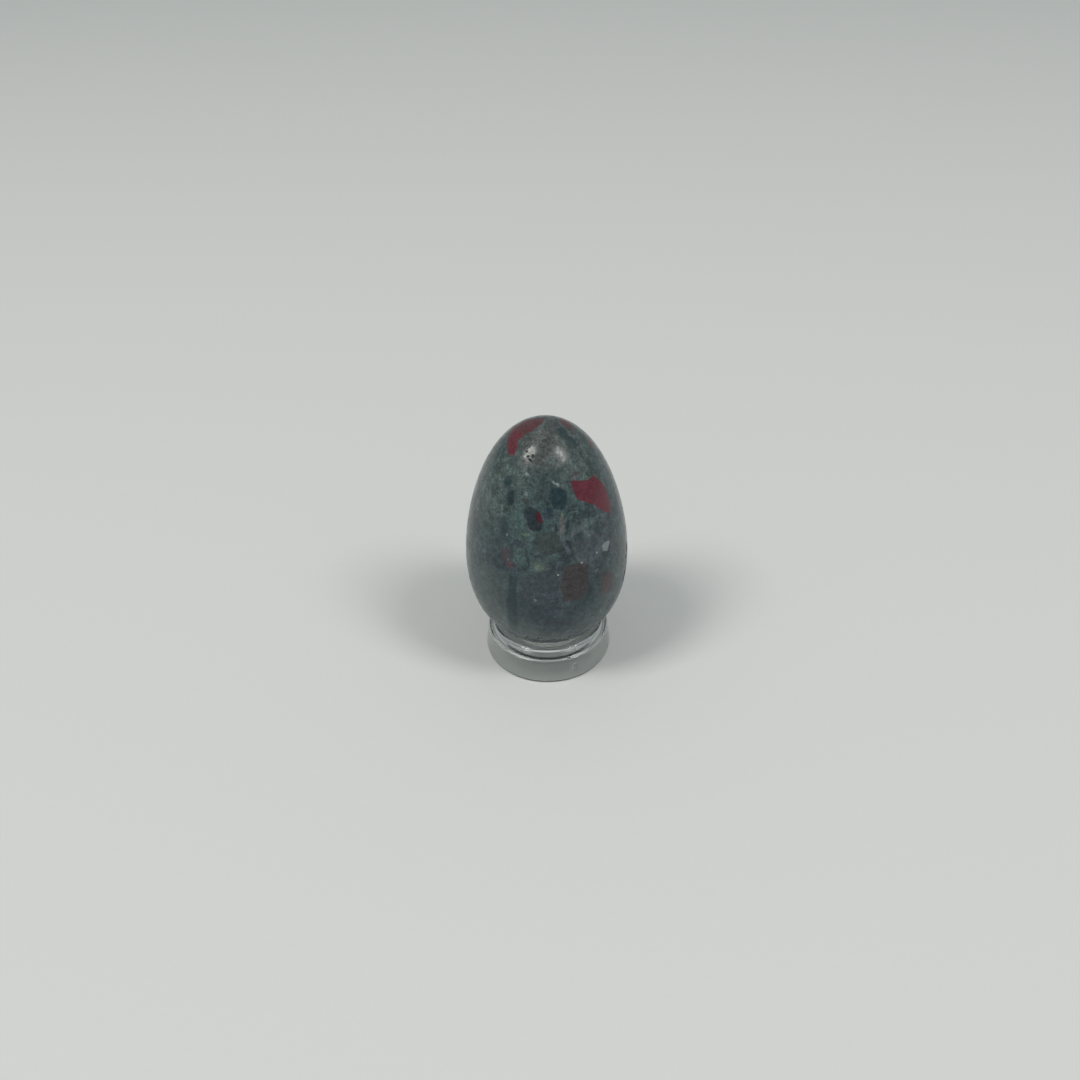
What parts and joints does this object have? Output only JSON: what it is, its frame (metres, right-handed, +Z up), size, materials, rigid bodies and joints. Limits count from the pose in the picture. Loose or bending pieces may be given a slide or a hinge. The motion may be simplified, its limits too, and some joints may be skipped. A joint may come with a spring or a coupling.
{
  "type": "stone egg on stand",
  "caption": "Polished bloodstone egg, small end up, resting in a low clear plastic ring stand; an ornament or paperweight that lifts off its ring.",
  "frame": {"origin": "on the table, under the centre of the ring", "axes": "+Z up through the ring's centre and both ends of the egg; the part is round, so +X and +Y are any two level directions"},
  "size_m": [0.034, 0.034, 0.0574],
  "materials": {
    "bloodstone": "polished dark grey-green stone with red patches",
    "clear_plastic": "clear, glossy"
  },
  "bodies": {
    "ring_stand": {"ring_stand": "clear_plastic"},
    "stone_egg": {"stone_egg": "bloodstone"}
  },
  "joints": [
    {"name": "egg_lift", "type": "slide", "parent": "ring_stand", "child": "stone_egg", "axis": [0, 0, 1], "range_m": [0, 0.06]}
  ]
}
